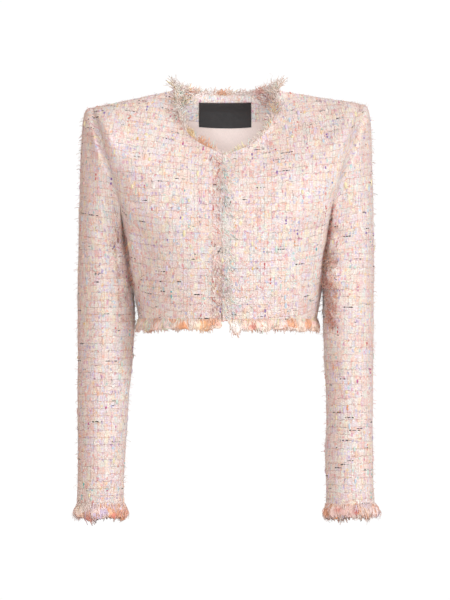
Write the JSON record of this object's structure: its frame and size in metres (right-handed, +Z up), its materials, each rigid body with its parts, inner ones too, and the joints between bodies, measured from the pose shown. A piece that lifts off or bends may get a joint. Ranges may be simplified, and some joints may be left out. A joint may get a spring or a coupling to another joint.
{
  "type": "cropped tweed jacket, worn and hollow",
  "caption": "Cropped collarless tweed jacket in its worn, hollow form, with squared shoulders, long two-piece sleeves and frayed fringe round neck, fronts, hem and cuffs.",
  "frame": {"origin": "on the jacket's centre line, level with its shoulder seams beside the neck, where the wearer's shoulders hold it up", "axes": "+Z up, -Y out of the front, +X towards the wearer's left"},
  "size_m": [0.4511, 0.2362, 0.6469],
  "materials": {
    "tweed": "pale pink fancy tweed with coloured slubs, nubbly and matte",
    "lining": "pale pink satin lining, soft sheen",
    "label": "black woven satin label, bare",
    "neck_fringe": "frayed yarn ends, matte, pink, orange and grey",
    "edge_fringe": "frayed yarn ends, matte, pale mint and cream",
    "hem_fringe": "frayed yarn ends, matte, peach and orange"
  },
  "bodies": {
    "root": {"front_right": "tweed", "front_left": "tweed", "back": "tweed", "upper_sleeve_right": "tweed", "upper_sleeve_left": "tweed", "under_sleeve_right": "tweed", "under_sleeve_left": "tweed", "back_neck_facing": "tweed", "back_lining": "lining", "label": "label", "neck_fringe": "neck_fringe", "front_edge_fringe_right": "edge_fringe", "front_edge_fringe_left": "edge_fringe", "hem_fringe": "hem_fringe", "cuff_fringe_right": "hem_fringe", "cuff_fringe_left": "hem_fringe"}
  },
  "joints": []
}
